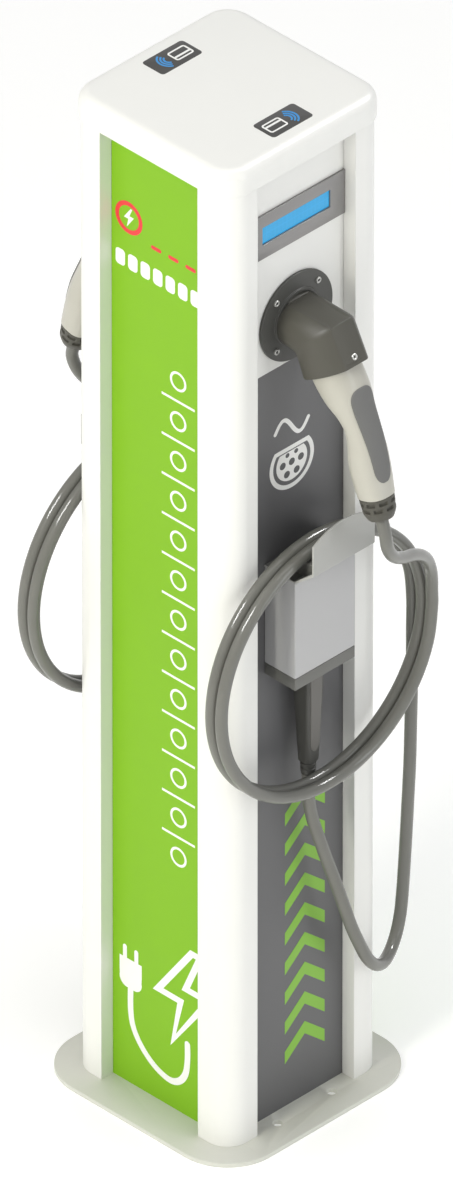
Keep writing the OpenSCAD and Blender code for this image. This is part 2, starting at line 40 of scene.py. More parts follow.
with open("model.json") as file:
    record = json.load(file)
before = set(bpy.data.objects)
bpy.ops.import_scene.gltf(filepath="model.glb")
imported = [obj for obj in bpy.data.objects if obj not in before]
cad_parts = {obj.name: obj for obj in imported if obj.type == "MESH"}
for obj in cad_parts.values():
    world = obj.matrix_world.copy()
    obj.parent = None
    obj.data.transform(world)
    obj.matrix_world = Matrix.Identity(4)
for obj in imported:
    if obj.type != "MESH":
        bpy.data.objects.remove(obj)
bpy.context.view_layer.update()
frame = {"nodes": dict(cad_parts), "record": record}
nodes = frame["nodes"]
mm = 0.001
sides = {"front": 1, "back": -1}
slotOf = {part["node"]: part["material_slot"] for part in frame["record"]["subparts"]}
print("frame loaded:", len(nodes), "nodes")

# camera and light

cameraLook = {
    "azimuth": -45.0,            # the corner between the front and the left side faces the camera
    "elevation": 35.264,
    "target": (-0.0008, 0.0008, 0.5805),
    "frameHeight": 1.1709,
    "lens": 600.0,
    "sensorHeight": 15.0, "sensorWidth": 36.0,
}


def makeCamera(look):
    az, el = math.radians(look["azimuth"]), math.radians(look["elevation"])
    towards = Vector((math.sin(az) * math.cos(el), -math.cos(az) * math.cos(el), math.sin(el)))
    data = bpy.data.cameras.new("camera")
    data.sensor_fit = "VERTICAL"
    data.sensor_width = look["sensorWidth"]
    data.sensor_height = look["sensorHeight"]
    data.lens = look["lens"]
    distance = look["frameHeight"] * look["lens"] / look["sensorHeight"]
    data.clip_start = 1.0
    data.clip_end = 2 * distance
    camera = bpy.data.objects.new("camera", data)
    camera.location = Vector(look["target"]) + towards * distance
    camera.rotation_euler = (-towards).to_track_quat("-Z", "Y").to_euler()
    bpy.context.scene.collection.objects.link(camera)
    bpy.context.scene.camera = camera


lightLook = {
    "world": (1.0, 1.0, 1.0),
    "worldStrength": 0.62,
    "aim": (0, 0, 0.6),
    # name: place, width, height, power, colour
    "lamps": {
        "key": ((-3.4, -0.3, 2.1), 0.9, 2.6, 70.0, (1.0, 0.98, 0.86)),
        "fill": ((0.9, -3.6, 1.5), 0.7, 2.6, 21.0, (0.95, 0.98, 1.0)),
        "top": ((0.2, -0.2, 3.8), 1.6, 1.6, 22.0, (1.0, 1.0, 1.0)),
    },
    # lamps that show only as highlights on glossy surfaces
    "shines": {
        "shineLeft": ((-2.4, 0.7, 3.0), 1.1, 1.1, 130.0, (1.0, 1.0, 1.0)),
        "shineRight": ((2.0, -0.7, 3.2), 0.9, 0.9, 88.0, (1.0, 1.0, 1.0)),
    },
}


def makeLights(look):
    world = bpy.data.worlds.new("studio")
    world.use_nodes = True
    sky = world.node_tree.nodes["Background"]
    sky.inputs["Color"].default_value = (*look["world"], 1)
    sky.inputs["Strength"].default_value = look["worldStrength"]
    bpy.context.scene.world = world
    for name, (place, width, height, power, colour) in {**look["lamps"], **look["shines"]}.items():
        data = bpy.data.lights.new(name, "AREA")
        data.shape = "RECTANGLE"
        data.size, data.size_y = width, height
        data.energy = power
        data.color = colour
        lamp = bpy.data.objects.new(name, data)
        lamp.location = place
        lamp.rotation_euler = (Vector(look["aim"]) - Vector(place)).to_track_quat("-Z", "Y").to_euler()
        lamp.visible_diffuse = name not in look["shines"]
        lamp.visible_glossy = name != "key"
        bpy.context.scene.collection.objects.link(lamp)


makeCamera(cameraLook)
makeLights(lightLook)
bpy.context.scene.view_settings.view_transform = "Standard"
print("camera and lights made")

# mesh helpers


def bmObject(name, bm, smooth=None):
    # smooth is the angle in degrees up to which neighbouring faces shade as one
    bmesh.ops.recalc_face_normals(bm, faces=bm.faces)
    mesh = bpy.data.meshes.new(name)
    bm.to_mesh(mesh)
    bm.free()
    if smooth is not None:
        mesh.shade_smooth()
        mesh.set_sharp_from_angle(angle=math.radians(smooth))
    obj = bpy.data.objects.new(name, mesh)
    bpy.context.scene.collection.objects.link(obj)
    return obj


def applyModifiers(obj):
    # the evaluated result becomes the piece's own plain mesh
    graph = bpy.context.evaluated_depsgraph_get()
    mesh = bpy.data.meshes.new_from_object(obj.evaluated_get(graph), preserve_all_data_layers=True,
                                           depsgraph=graph)
    obj.modifiers.clear()
    obj.data = mesh
    return obj


def bevelEdges(obj, width, segments, angle):
    bevel = obj.modifiers.new("edges", "BEVEL")
    bevel.width, bevel.segments, bevel.harden_normals = width, segments, True
    bevel.limit_method, bevel.angle_limit = "ANGLE", math.radians(angle)
    return applyModifiers(obj)


def meshOf(*pieces, weld=False):
    # weld joins the loose triangles of a CAD shape
    bm = bmesh.new()
    for piece in pieces:
        bm.from_mesh(piece.data)
    if weld:
        bmesh.ops.remove_doubles(bm, verts=bm.verts, dist=1e-6)
    return bm


def cleaned(obj, weld=False):
    # faces turned outwards, after the doubles are merged
    bm = meshOf(obj, weld=weld)
    bmesh.ops.recalc_face_normals(bm, faces=bm.faces)
    bm.to_mesh(obj.data)
    bm.free()
    return obj


def addLoft(bm, rings, ends="capped"):
    # walls through closed rings of equal point count; ends are capped, joined to each other or open
    made = [[bm.verts.new(p) for p in ring] for ring in rings]
    count = len(made[0])
    for low, high in zip(made, made[1:] + (made[:1] if ends == "joined" else [])):
        for k in range(count):
            n = (k + 1) % count
            bm.faces.new((low[k], low[n], high[n], high[k]))
    if ends == "capped":
        bm.faces.new(list(reversed(made[0])))
        bm.faces.new(made[-1])


def loftPiece(name, rings, side=1, smooth=30, ends="capped"):
    bm = bmesh.new()
    addLoft(bm, [toSide(ring, side) for ring in rings], ends)
    return bmObject(name, bm, smooth)


def toSide(points, side):
    return [(x, y * side, z) for x, y, z in points]


def arc(cx, cy, radius, start, end, steps=24):
    return [(cx + radius * math.cos(math.radians(start + (end - start) * i / steps)),
             cy + radius * math.sin(math.radians(start + (end - start) * i / steps)))
            for i in range(steps + 1)]


def roundRect(cx, cy, width, height, radius, steps=6):
    points = []
    for corner, (sx, sy) in enumerate(((1, 1), (-1, 1), (-1, -1), (1, -1))):
        points += arc(cx + sx * (width / 2 - radius), cy + sy * (height / 2 - radius), radius,
                      90 * corner, 90 * corner + 90, steps)
    return points


def powered(value, power):
    # a power that keeps the sign
    return math.copysign(abs(value) ** power, value)


def roundProfile(points, radius, steps=5):
    # an open outline with every inner corner rounded
    pts = [Vector(p) for p in points]
    out = [pts[0]]
    for a, b, c in zip(pts, pts[1:], pts[2:]):
        reach = min(radius, (a - b).length / 2, (c - b).length / 2)
        start, end = b + (a - b).normalized() * reach, b + (c - b).normalized() * reach
        out += [start.lerp(b, i / steps).lerp(b.lerp(end, i / steps), i / steps) for i in range(steps + 1)]
    return out + [pts[-1]]


def turned(profile, origin, axis, around, dent=None):
    # rings of a turned shape; profile rows are radius and distance along the axis
    origin, axis, across = Vector(origin), Vector(axis).normalized(), Vector((1, 0, 0))
    other = axis.cross(across)
    rings = []
    for radius, along in profile:
        ring = []
        for k in range(around):
            angle = 2 * math.pi * k / around
            r = radius - (dent(along, angle) if dent else 0)
            ring.append(origin + axis * along + r * (math.cos(angle) * across + math.sin(angle) * other))
        rings.append(ring)
    return rings


def softened(name, nodeName, width, segments, angle=28):
    # a CAD shell with rounded edges
    bm = meshOf(nodes[nodeName], weld=True)
    bmesh.ops.dissolve_limit(bm, angle_limit=math.radians(0.4), verts=bm.verts, edges=bm.edges)
    obj = bmObject(name, bm)
    obj.data.shade_smooth()
    return bevelEdges(obj, width, segments, angle)


def smoothBetween(a, b, c, d, t):
    # from b to c on a smooth curve through all four
    return 0.5 * (2 * b + (c - a) * t + (2 * a - 5 * b + 4 * c - d) * t * t
                  + (3 * b - a - 3 * c + d) * t ** 3)


def blendRows(table, t):
    # smooth blend of a table's rows, t from 0 to 1
    place = t * (len(table) - 1)
    i = min(int(place), len(table) - 2)
    rows = (table[max(0, min(len(table) - 1, i + k))] for k in (-1, 0, 1, 2))
    return [smoothBetween(*values, place - i) for values in zip(*rows)]


def settle(piece, *replaced, body="root", slot=None, finish=None):
    # body and finish of a piece, the finish by default from its record slot, and hiding the CAD nodes that it
    # stands for
    slot = slot or slotOf[replaced[0]]
    piece.data.materials.clear()
    piece.data.materials.append(finish or finishes[slot])
    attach(piece, body)
    if replaced:
        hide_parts(*replaced)


# the two charging cables

cableLook = {
    "diameter": 0.013,
    "coilRadius": 0.144,
    "coilCentre": (-0.003, 0.563),   # x and z of the coil's axis
    "coilBack": -0.118,
    "coilPitch": 0.0135,
    "coilTurns": 2,
    "pointsPerTurn": 24,
    "ringStep": 0.004,
    "ringPoints": 20,
    "bendStart": (0, -0.160, 0.634),   # bend of the cable: its end at the post
    "bendEnd": (0, -0.242, 0.655),     # and its end at the connector
}
dropPoints = [
    (0, -0.113, 0.418), (0, -0.113, 0.390), (0.004, -0.115, 0.360), (0.010, -0.120, 0.331),
    (0.018, -0.123, 0.302), (0.026, -0.127, 0.273), (0.033, -0.131, 0.245), (0.040, -0.134, 0.219),
    (0.049, -0.136, 0.195), (0.060, -0.136, 0.172), (0.075, -0.132, 0.154), (0.093, -0.125, 0.143),
    (0.112, -0.116, 0.142), (0.129, -0.108, 0.151), (0.140, -0.103, 0.168), (0.145, -0.101, 0.190),
    (0.146, -0.102, 0.215), (0.145, -0.105, 0.247), (0.143, -0.109, 0.283), (0.141, -0.113, 0.322),
    (0.140, -0.116, 0.362), (0.140, -0.117, 0.402), (0.140, -0.118, 0.443), (0.141, -0.118, 0.483),
    (0.141, -0.118, 0.523)]
tailPoints = [
    (0.140, -0.146, 0.585), (0.135, -0.150, 0.610), (0.122, -0.158, 0.635), (0.101, -0.170, 0.658),
    (0.074, -0.184, 0.679), (0.046, -0.198, 0.697), (0.022, -0.209, 0.716), (0.007, -0.216, 0.737),
    (0.001, -0.219, 0.757), (0, -0.2142, 0.7764)]


def coilPoints(look):
    # from the top of the drop over the hook, down the left and up again, once a turn
    x0, z0 = look["coilCentre"]
    steps = look["coilTurns"] * look["pointsPerTurn"]
    points = []
    for i in range(steps + 1):
        turn = i / look["pointsPerTurn"]
        angle = 2 * math.pi * turn
        points.append((x0 + look["coilRadius"] * math.cos(angle),
                       look["coilBack"] - look["coilPitch"] * turn,
                       z0 + look["coilRadius"] * math.sin(angle)))
    return points


def smoothPath(points, step):
    # a smooth curve through the points, then even spacing
    pts = [Vector(p) for p in points]
    pts = [2 * pts[0] - pts[1]] + pts + [2 * pts[-1] - pts[-2]]
    fine = []
    for i in range(1, len(pts) - 2):
        a, b, c, d = pts[i - 1:i + 3]
        fine += [smoothBetween(a, b, c, d, k / 16) for k in range(16)]
    fine.append(pts[-2])
    length = [0.0]
    for p, q in zip(fine, fine[1:]):
        length.append(length[-1] + (q - p).length)
    count = int(length[-1] / step)
    path, j = [], 0
    for i in range(count + 1):
        want = length[-1] * i / count
        while j < len(fine) - 2 and length[j + 1] < want:
            j += 1
        span = length[j + 1] - length[j]
        path.append(fine[j].lerp(fine[j + 1], (want - length[j]) / span if span else 0))
    return path, length[-1]


def tubeMesh(name, path, radius, ringPoints):
    bm = bmesh.new()
    uv = bm.loops.layers.uv.new("along")
    rings, run = [], [0.0]
    across = None
    for i, p in enumerate(path):
        tangent = (path[min(i + 1, len(path) - 1)] - path[max(i - 1, 0)]).normalized()
        if across is None:
            across = tangent.orthogonal().normalized()
        across = (across - tangent * across.dot(tangent)).normalized()
        other = tangent.cross(across)
        angles = [2 * math.pi * k / ringPoints for k in range(ringPoints)]
        rings.append([bm.verts.new(p + radius * (math.cos(a) * across + math.sin(a) * other))
                      for a in angles])
        if i:
            run.append(run[-1] + (p - path[i - 1]).length)
    for i in range(len(rings) - 1):
        for k in range(ringPoints):
            n = (k + 1) % ringPoints
            face = bm.faces.new((rings[i][k], rings[i][n], rings[i + 1][n], rings[i + 1][k]))
            face.smooth = True
            for loop, (u, v) in zip(face.loops, ((k, i), (k + 1, i), (k + 1, i + 1), (k, i + 1))):
                loop[uv].uv = (u / ringPoints, run[v])
    bm.faces.new(list(reversed(rings[0])))
    bm.faces.new(rings[-1])
    return bmObject(name, bm)


cables = {}
for sideName, side in sides.items():
    route = toSide(dropPoints + coilPoints(cableLook) + tailPoints, side)
    path, cableLength = smoothPath(route, cableLook["ringStep"])
    cable = tubeMesh("cable_" + sideName, path, cableLook["diameter"] / 2, cableLook["ringPoints"])
    bendStart, bendEnd = toSide([cableLook["bendStart"], cableLook["bendEnd"]], side)
    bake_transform(cable)
    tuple(bendStart)
    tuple(bendEnd)
    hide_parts("cable_drop_" + sideName, "cable_coil_" + sideName, "cable_tail_" + sideName)
    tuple(route[0])
    cables[sideName] = cable
print("cables made, each", round(cableLength, 3), "m")

# finishes

coats = {
    "white": (0.82, 0.82, 0.795), "green": (0.212, 0.46, 0.014), "darkGrey": (0.118, 0.118, 0.122),
    "paleGrey": (0.40, 0.402, 0.385), "base": (0.63, 0.635, 0.58), "bezel": (0.27, 0.263, 0.26),
    "screen": (0.03, 0.34, 0.66), "label": (0.055, 0.054, 0.052), "black": (0.012, 0.012, 0.012),
    "dock": (0.072, 0.072, 0.066), "head": (0.086, 0.083, 0.07), "grip": (0.48, 0.468, 0.415),
    "pad": (0.145, 0.145, 0.141), "cable": (0.165, 0.165, 0.15), "box": (0.44, 0.44, 0.445),
    "gland": (0.135, 0.135, 0.125), "steel": (0.55, 0.55, 0.53), "aluminium": (0.6, 0.6, 0.61),
    "device": (0.62, 0.62, 0.6), "toggle": (0.02, 0.05, 0.25), "printWhite": (0.86, 0.86, 0.84),
    "boot": (0.125, 0.12, 0.11), "printRed": (0.74, 0.03, 0.035), "printBlue": (0.04, 0.27, 0.62),
    "printGreen": (0.22, 0.48, 0.045), "printDark": (0.09, 0.09, 0.092),
}


def addNode(tree, kind, inputs=None, **settings):
    node = tree.nodes.new(kind)
    for key, value in settings.items():
        setattr(node, key, value)
    for key, value in (inputs or {}).items():
        if isinstance(value, bpy.types.NodeSocket):
            tree.links.new(value, node.inputs[key])
        else:
            node.inputs[key].default_value = value
    return node


def calc(tree, operation, *values):
    # the result of a Math node
    return addNode(tree, "ShaderNodeMath", dict(enumerate(values)), operation=operation).outputs[0]


def mixColours(tree, factor, first, second):
    mix = addNode(tree, "ShaderNodeMix", {"Factor": factor}, data_type="RGBA")
    mix.inputs["A"].default_value, mix.inputs["B"].default_value = (*first, 1), (*second, 1)
    return mix.outputs["Result"]


finishBase = {"glossWander": 0.06, "coatRough": 0.06, "mottleScale": 18.0, "edgeSamples": 4}


def makeFinish(name, colour, rough=0.4, grainSize=0.5 * mm, grain=0.05, mottle=0.04, metal=0.0,
               stretch=(1, 1, 1), coat=0.0, edge=0.0, glow=0.0, specular=0.5):
    # grain is the bump of the surface; mottle is how much colour and gloss wander over it;
    # edge is the radius with which sharp edges catch the light
    material = bpy.data.materials.new(name)
    material.use_nodes = True
    tree = material.node_tree
    shader = tree.nodes["Principled BSDF"]
    place = addNode(tree, "ShaderNodeTexCoord")
    grainPlace = addNode(tree, "ShaderNodeMapping", {"Vector": place.outputs["Object"], "Scale": stretch})
    fine = addNode(tree, "ShaderNodeTexNoise",
                   {"Vector": grainPlace.outputs["Vector"], "Scale": 1 / grainSize, "Detail": 3.0})
    broad = addNode(tree, "ShaderNodeTexNoise", {"Vector": place.outputs["Object"], "Detail": 5.0,
                                                 "Scale": finishBase["mottleScale"], "Roughness": 0.6})
    tint = mixColours(tree, broad.outputs["Fac"], [c * (1 - mottle) for c in colour],
                      [min(1, c * (1 + mottle)) for c in colour])
    tree.links.new(tint, shader.inputs["Base Color"])
    gloss = addNode(tree, "ShaderNodeMapRange", {"Value": broad.outputs["Fac"],
                                                 "To Min": max(0.02, rough - finishBase["glossWander"]),
                                                 "To Max": min(1, rough + finishBase["glossWander"])})
    tree.links.new(gloss.outputs["Result"], shader.inputs["Roughness"])
    bump = addNode(tree, "ShaderNodeBump", {"Height": fine.outputs["Fac"], "Strength": grain,
                                            "Distance": grainSize})
    if edge:
        softer = addNode(tree, "ShaderNodeBevel", {"Radius": edge}, samples=finishBase["edgeSamples"])
        tree.links.new(softer.outputs["Normal"], bump.inputs["Normal"])
    tree.links.new(bump.outputs["Normal"], shader.inputs["Normal"])
    for label, value in (("Metallic", metal), ("Coat Weight", coat), ("Specular IOR Level", specular),
                         ("Coat Roughness", finishBase["coatRough"])):
        shader.inputs[label].default_value = value
    if glow:
        shader.inputs["Emission Color"].default_value = (*colour, 1)
        shader.inputs["Emission Strength"].default_value = glow
    return material


def makeScreenFinish(name, colour, look):
    # back-lit display: two rows of faint character cells
    material = makeFinish(name, colour, 0.2, mottle=0.05, coat=0.15, glow=look["glow"], specular=0.3)
    tree = material.node_tree
    shader = tree.nodes["Principled BSDF"]
    place = next(n for n in tree.nodes if n.type == "TEX_COORD")
    split = addNode(tree, "ShaderNodeSeparateXYZ", {"Vector": place.outputs["Object"]})
    masks = []
    for axis, start, pitch, share in (("X", look["cellStart"], look["cellPitch"], look["cellShare"]),
                                      ("Z", look["rowStart"], look["rowPitch"], look["rowShare"])):
        wrap = calc(tree, "FLOORED_MODULO", calc(tree, "SUBTRACT", split.outputs[axis], start), pitch)
        masks.append(calc(tree, "LESS_THAN", wrap, pitch * share))
    depth = calc(tree, "MULTIPLY", calc(tree, "MULTIPLY", *masks), look["cellDepth"])
    shade = mixColours(tree, depth, colour, [c * look["cellTone"] for c in colour])
    tree.links.new(shade, shader.inputs["Base Color"])
    tree.links.new(shade, shader.inputs["Emission Color"])
    return material


screenLook = {
    "glow": 0.25,
    "cellStart": -0.0446, "cellPitch": 0.0056, "cellShare": 0.82,
    "rowStart": 1.0695, "rowPitch": 0.0096, "rowShare": 0.84,
    "cellDepth": 0.12, "cellTone": 0.55,
}
brush = (0.02, 1, 1)
finishes = {
    "white_coat": makeFinish("whiteCoat", coats["white"], 0.36, 0.7 * mm, 0.05, 0.012, coat=0.1,
                             edge=1.2 * mm),
    "green_coat": makeFinish("greenFilm", coats["green"], 0.45, 0.9 * mm, 0.04, 0.03, specular=0.2),
    "grey_coat": makeFinish("greyCoat", coats["darkGrey"], 0.42, 0.5 * mm, 0.08, 0.05),
    "pale_grey_coat": makeFinish("paleGreyCoat", coats["paleGrey"], 0.4, 0.5 * mm, 0.06, 0.025),
    "base_metal": makeFinish("baseCoat", coats["base"], 0.48, 0.6 * mm, 0.1, 0.045),
    "bezel_metal": makeFinish("brushedBezel", coats["bezel"], 0.4, 0.3 * mm, 0.1, 0.05, 0.3, brush),
    "screen": makeScreenFinish("screenGlass", coats["screen"], screenLook),
    "label": makeFinish("labelFilm", coats["label"], 0.32, mottle=0.05, coat=0.2),
    "black_plastic": makeFinish("blackPlastic", coats["black"], 0.5, grain=0.15),
    "dark_plastic": makeFinish("dockPlastic", coats["dock"], 0.42, 0.45 * mm, 0.16, 0.06, specular=0.4),
    "head_plastic": makeFinish("headPlastic", coats["head"], 0.45, 0.45 * mm, 0.18, 0.05, specular=0.3),
    "grip_plastic": makeFinish("gripPlastic", coats["grip"], 0.34, 0.6 * mm, 0.06, 0.025, coat=0.15),
    "pad_rubber": makeFinish("padRubber", coats["pad"], 0.6, 0.4 * mm, 0.25, 0.05),
    "cable_rubber": makeFinish("cableSheath", coats["cable"], 0.45, 0.8 * mm, 0.03, 0.06, coat=0.6,
                               specular=0.1),
    "box_plastic": makeFinish("boxPlastic", coats["box"], 0.34, 0.7 * mm, 0.05, 0.02, coat=0.1),
    "screw_metal": makeFinish("screwSteel", coats["steel"], 0.3, 0.2 * mm, 0.08, 0.05, 0.7),
    "frame_metal": makeFinish("millAluminium", coats["aluminium"], 0.4, 0.3 * mm, 0.1, 0.05, 0.9,
                              (1, 1, 0.03)),
    "gasket_rubber": makeFinish("foamGasket", coats["black"], 0.8, 0.4 * mm, 0.3),
    "device_plastic": makeFinish("devicePlastic", coats["device"], 0.45, grain=0.08, edge=0.6 * mm),
    "toggle_plastic": makeFinish("togglePlastic", coats["toggle"], 0.35, grain=0.08),
}
glandFinish = makeFinish("glandPlastic", coats["gland"], 0.42, 0.5 * mm, 0.12, 0.05)
bootFinish = makeFinish("bootPlastic", coats["boot"], 0.42, 0.45 * mm, 0.15, 0.06)
prints = {key: makeFinish("ink" + key, coats["print" + key], 0.45, 0.8 * mm, 0.03, 0.02)
          for key in ("White", "Red", "Blue", "Green", "Dark")}
for cable in cables.values():
    cable.data.materials.append(finishes["cable_rubber"])
print("finishes made:", len(finishes))

# sheet metal and moulded shells: the CAD shapes with rounded edges

shellLook = {
    # edge radius and segments
    "base_plate": (0.8 * mm, 2), "display_bezel": (0.5 * mm, 2), "box_cover": (2.4 * mm, 4),
    "gland_plate": (0.9 * mm, 3), "cable_hook": (0.7 * mm, 3),
}
hookShadeZone = (0.029, 0.157, 0.679)     # the saddle inside the hook, painted dark as shade: half width, reach and foot
for kind, (width, segments) in shellLook.items():
    for ending in ("",) if kind in nodes else ("_front", "_back"):
        piece = softened(f"{kind}_shell{ending}", kind + ending, width, segments)
        settle(piece, kind + ending, finish=glandFinish if kind == "gland_plate" else None)
        # the hook's inner saddle faces take the dark gland finish as painted shade
        if kind == "cable_hook":
            piece.data.materials.append(glandFinish)
            for face in piece.data.polygons:
                x, y, z = face.center
                if abs(x) < hookShadeZone[0] and abs(y) < hookShadeZone[1] and z > hookShadeZone[2]:
                    face.material_index = 1
print("shells softened")

# lid

lidLook = {"edgeRound": 12 * mm, "rimRound": 1.2 * mm, "arcSteps": 10, "cornerSteps": 12, "wall": 5 * mm,
           "corner": 29.5 * mm, "cornerLeast": 4 * mm, "hollow": 8 * mm}


def makeLid(look):
    low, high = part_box("lid")
    half, foot, top = high[0], low[2], high[2]
    corner, edge, rim, wall = (look[key] for key in ("corner", "edgeRound", "rimRound", "wall"))
    profile = [(wall, foot + look["hollow"]), (wall, foot), (rim, foot)]     # inset from the side, and height
    profile += [(rim * (1 - math.sin(a)), foot + rim * (1 - math.cos(a)))
                for a in (math.radians(30 * i) for i in range(1, 4))]
    profile += [(edge * (1 - math.cos(a)), top - edge + edge * math.sin(a))
                for a in (math.pi / 2 * i / look["arcSteps"] for i in range(look["arcSteps"] + 1))]
    rings = [[(x, y, z) for x, y in roundRect(0, 0, 2 * (half - inset), 2 * (half - inset),
                                              corner - min(inset, corner - look["cornerLeast"]),
                                              look["cornerSteps"])] for inset, z in profile]
    return loftPiece("lid_shell", rings, smooth=35)


settle(makeLid(lidLook), "lid")
print("lid made")

# dock: flange, collar and sleeve turned about the connector's axis

dockLow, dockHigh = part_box("dock_front")
dockZ = (dockLow[2] + dockHigh[2]) / 2
panelOut = -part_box("lower_panel_front")[0][1]
dockLook = {"flangeRadius": 50 * mm, "flangeThick": 3.4 * mm, "collarRadius": 31.5 * mm,
            "boreRadius": 27.5 * mm, "collarOut": -dockLow[1] - panelOut, "edge": 1.2 * mm, "around": 96,
            "floor": 4 * mm, "axis": 0.01 * mm}


def makeDock(look, sideName, side):
    back = -dockHigh[1] - panelOut
    bore, outer, flangeRadius = look["boreRadius"], look["collarRadius"], look["flangeRadius"]
    flange, collar, floor, axis = look["flangeThick"], look["collarOut"], look["floor"], look["axis"]
    outline = roundProfile([(bore, back + floor + 2 * mm, 0), (bore, collar, 0), (outer, collar, 0),
                            (outer, flange, 0), (flangeRadius, flange, 0), (flangeRadius, 0, 0),
                            (outer, 0, 0), (outer, back, 0), (axis, back, 0)], look["edge"])
    outline = [(p.x, p.y) for p in outline] + [(axis, back + floor), (bore - 1 * mm, back + floor)]
    rings = turned(outline, (0, -panelOut, dockZ), (0, -1, 0), look["around"])
    return cleaned(loftPiece("dock_shell_" + sideName, rings + rings[:1], side, 35, ends="open"), weld=True)


for sideName, side in sides.items():
    settle(makeDock(dockLook, sideName, side), "dock_" + sideName)
print("docks made")

# connector: head, grip, soft pad, union nut and screw, placed outwards from the neck and up from the axis

neckOut = panelOut + dockLook["collarOut"] + 0.3 * mm
gripLook = {
    # out, up, half width, half depth, lean in degrees, from the head down to the union nut
    "stations": [(51.5, -36, 23, 26.5, 30), (60, -48, 23, 25.5, 30), (69.5, -60, 22.5, 22.5, 33),
                 (80.5, -74, 20, 16.5, 34), (88.5, -88, 18.5, 15, 28), (93.5, -104, 18.5, 17, 20),
                 (97, -121, 19.8, 18.8, 17), (102, -140, 19.2, 18.8, 16), (108, -160, 17.5, 17.6, 16.5)],
    "rows": 120, "around": 96,
    "squareness": 2.5,       # 2 is an ellipse
    "seam": 0.35 * mm,       # depth of the gap around the pad
    "seamWidth": 0.9 * mm,
    "degree": 0.36 * mm,     # way round the grip that one degree covers
}
padLook = {
    "start": 0.2, "end": 0.9,      # shares of the grip's stations
    "halfTop": 15.5 * mm, "halfLow": 10 * mm,
    "roundTop": 0.16, "roundLow": 0.13,      # shares of the pad that its round ends take
    "thick": 1.0 * mm, "sunk": 1.0 * mm, "edge": 1.6 * mm, "rows": 80, "across": 36,
    "length": 150 * mm,                      # of the whole grip
}


def gripPoint(t, angle, lift=0.0):
    # angle 90 is the outer face of the grip
    out, up, width, depth, lean = blendRows(gripLook["stations"], t)
    power = 2 / gripLook["squareness"]
    angle, lean = math.radians(angle), math.radians(lean)
    x = powered(math.cos(angle), power) * (width * mm + lift)
    v = powered(math.sin(angle), power) * (depth * mm + lift)
    return Vector((x, -neckOut - out * mm - v * math.cos(lean), dockZ + up * mm + v * math.sin(lean)))


def padSpread(t):
    # half angle that the pad covers at t, with round ends
    share = (t - padLook["start"]) / (padLook["end"] - padLook["start"])
    if share <= 0 or share >= 1:
        return 0.0
    half = padLook["halfTop"] + (padLook["halfLow"] - padLook["halfTop"]) * share
    width = blendRows(gripLook["stations"], t)[2] * mm
    full = 90 - math.degrees(math.acos(min(0.95, half / width) ** (gripLook["squareness"] / 2)))
    endTop = min(1, share / padLook["roundTop"])
    endLow = min(1, (1 - share) / padLook["roundLow"])
    return full * math.sqrt(1 - (1 - endTop) ** 2) * math.sqrt(1 - (1 - endLow) ** 2)


def makeGrip(look, sideName, side):
    rings = []
    for i in range(look["rows"] + 1):
        t = i / look["rows"]
        spread = padSpread(t)
        ring = []
        for k in range(look["around"]):
            angle = 360 * k / look["around"]
            away = abs((angle - 90 + 180) % 360 - 180) - spread
            gap = math.exp(-(away * look["degree"] / look["seamWidth"]) ** 2) if spread else 0
            ring.append(gripPoint(t, angle, -look["seam"] * gap))
        rings.append(ring)
    return loftPiece("grip_shell_" + sideName, rings, side, 50)


def makePad(look, sideName, side):
    rings = []
    for i in range(look["rows"] + 1):
        share = 0.5 - 0.5 * math.cos(math.pi * i / look["rows"])
        t = look["start"] + (look["end"] - look["start"]) * (0.001 + 0.998 * share)
        spread = padSpread(t)
        fromEnd = min(t - look["start"], look["end"] - t) * look["length"]
        outer, inner = [], []
        for k in range(look["across"] + 1):
            w = -1 + 2 * k / look["across"]
            fromSide = (1 - abs(w)) * spread * gripLook["degree"]
            slope = 1 - min(1, min(fromEnd, fromSide) / look["edge"])
            lift = look["thick"] * math.sqrt(1 - slope ** 2) - 0.1 * mm
            outer.append(gripPoint(t, 90 + spread * w, lift))
            inner.append(gripPoint(t, 90 - spread * w, -look["sunk"]))
        rings.append(outer + inner)
    return loftPiece("grip_pad_shell_" + sideName, rings, side, 50)


capLook = {
    "around": 160, "slots": 8, "slotDepth": 2.4 * mm, "slotHeight": 3.6 * mm, "slotPitch": 14 * mm,
    "rows": (5.4 * mm, 12.4 * mm), "slotShare": 0.62, "pinch": 0.3 * mm,
    # radius and way along the axis, in mm; the taper is its narrowing, length and steps
    "rim": [(16.4, 0), (17.6, 0.4), (18, 1.2)], "taper": (1.1, 14.6, 48),
    "foot": [(16.7, 17.2), (16.0, 19), (14.9, 21.4), (13.9, 23.4), (13.2, 24.6), (12.2, 25), (7.6, 25),
             (6.9, 24.4)],
}


def makeCap(look, sideName, side):
    def dent(along, angle):
        for i, middle in enumerate(look["rows"]):
            near = abs(along - middle) - look["slotHeight"] / 2
            turn = (angle / (2 * math.pi) * look["slots"] + 0.5 * i) % 1
            aside = (abs(turn - 0.5) - look["slotShare"] / 2) * look["slotPitch"]
            inside = max(near, aside) / look["pinch"]
            if inside < 1:
                return look["slotDepth"] * min(1, (1 - inside) / 2)
        return 0
    out, up, _, _, lean = gripLook["stations"][-1]
    lean = math.radians(lean)
    origin = (0, -neckOut - out * mm, dockZ + up * mm)
    axis = (0, -math.sin(lean), -math.cos(lean))
    (radius, start), (narrowing, length, steps) = look["rim"][-1], look["taper"]
    taper = [(radius - narrowing * i / steps, start + length * i / steps) for i in range(1, steps + 1)]
    profile = [(r * mm, z * mm) for r, z in look["rim"] + taper + look["foot"]]
    rings = turned(profile, origin, axis, look["around"], dent)
    return loftPiece("cable_cap_shell_" + sideName, rings, side, 40)


screwLook = {"out": 77.4 * mm, "up": -10 * mm, "lean": 119, "radius": 3.5 * mm, "ringRadius": 1.1 * mm,
             "floorSink": 0.5 * mm, "proud": 0.2 * mm, "length": 12 * mm, "around": 32}


